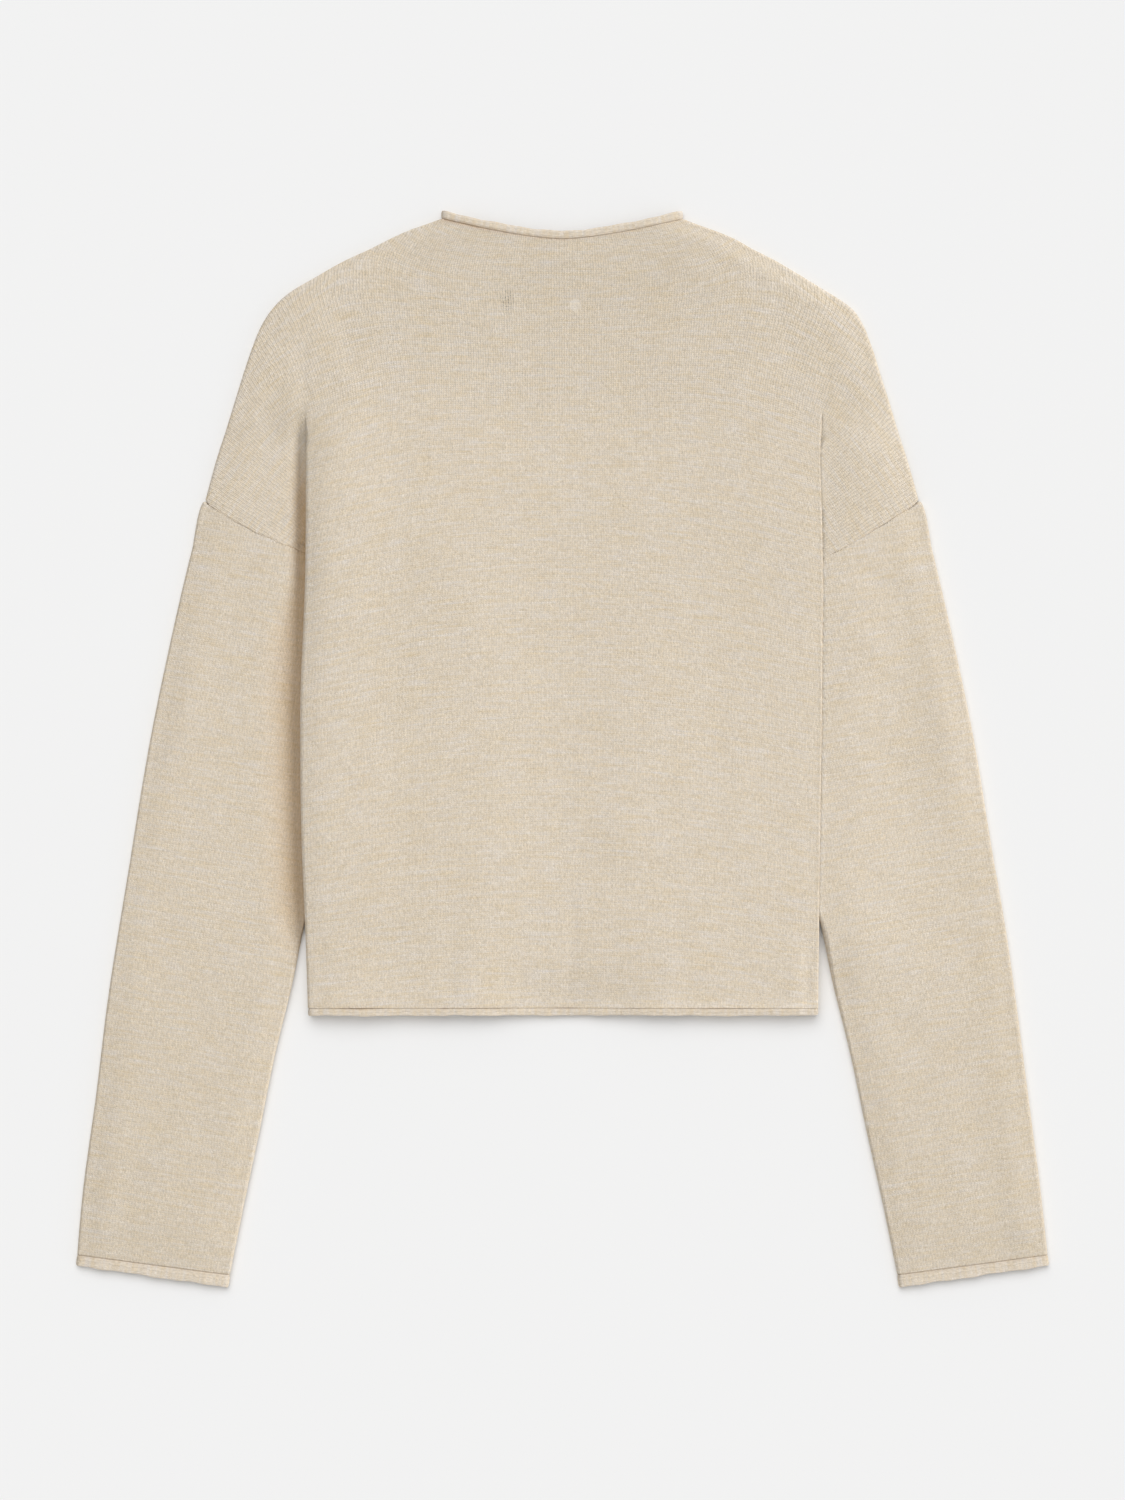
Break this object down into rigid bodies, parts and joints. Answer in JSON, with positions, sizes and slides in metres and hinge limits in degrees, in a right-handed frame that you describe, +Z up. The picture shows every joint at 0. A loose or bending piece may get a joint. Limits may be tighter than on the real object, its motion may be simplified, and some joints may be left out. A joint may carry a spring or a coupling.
{
  "type": "funnel neck cardigan",
  "caption": "Cropped funnel neck cardigan in fine oatmeal plain knit, laid flat on its fronts, sleeves folded down beside the body, rolled neck, hem and cuffs.",
  "frame": {"origin": "centre of the garment's outline, on the surface it lies on", "axes": "+X across the garment towards the right sleeve as seen from above, +Y from the hem to the neck, +Z up through the back panel, which lies on top"},
  "size_m": [0.6334, 0.6996, 0.012],
  "materials": {
    "knit": "fine plain knit in a beige melange yarn, matt with a short soft nap",
    "rolled_edge": "the same knit rolled over at the edge, matt"
  },
  "bodies": {
    "root": {"back": "knit", "front_left": "knit", "front_right": "knit", "sleeve_left": "knit", "sleeve_right": "knit", "neck_trim": "rolled_edge", "hem_trim_back": "rolled_edge", "hem_trim_front_left": "rolled_edge", "hem_trim_front_right": "rolled_edge", "cuff_trim_left": "rolled_edge", "cuff_trim_right": "rolled_edge"}
  },
  "joints": []
}
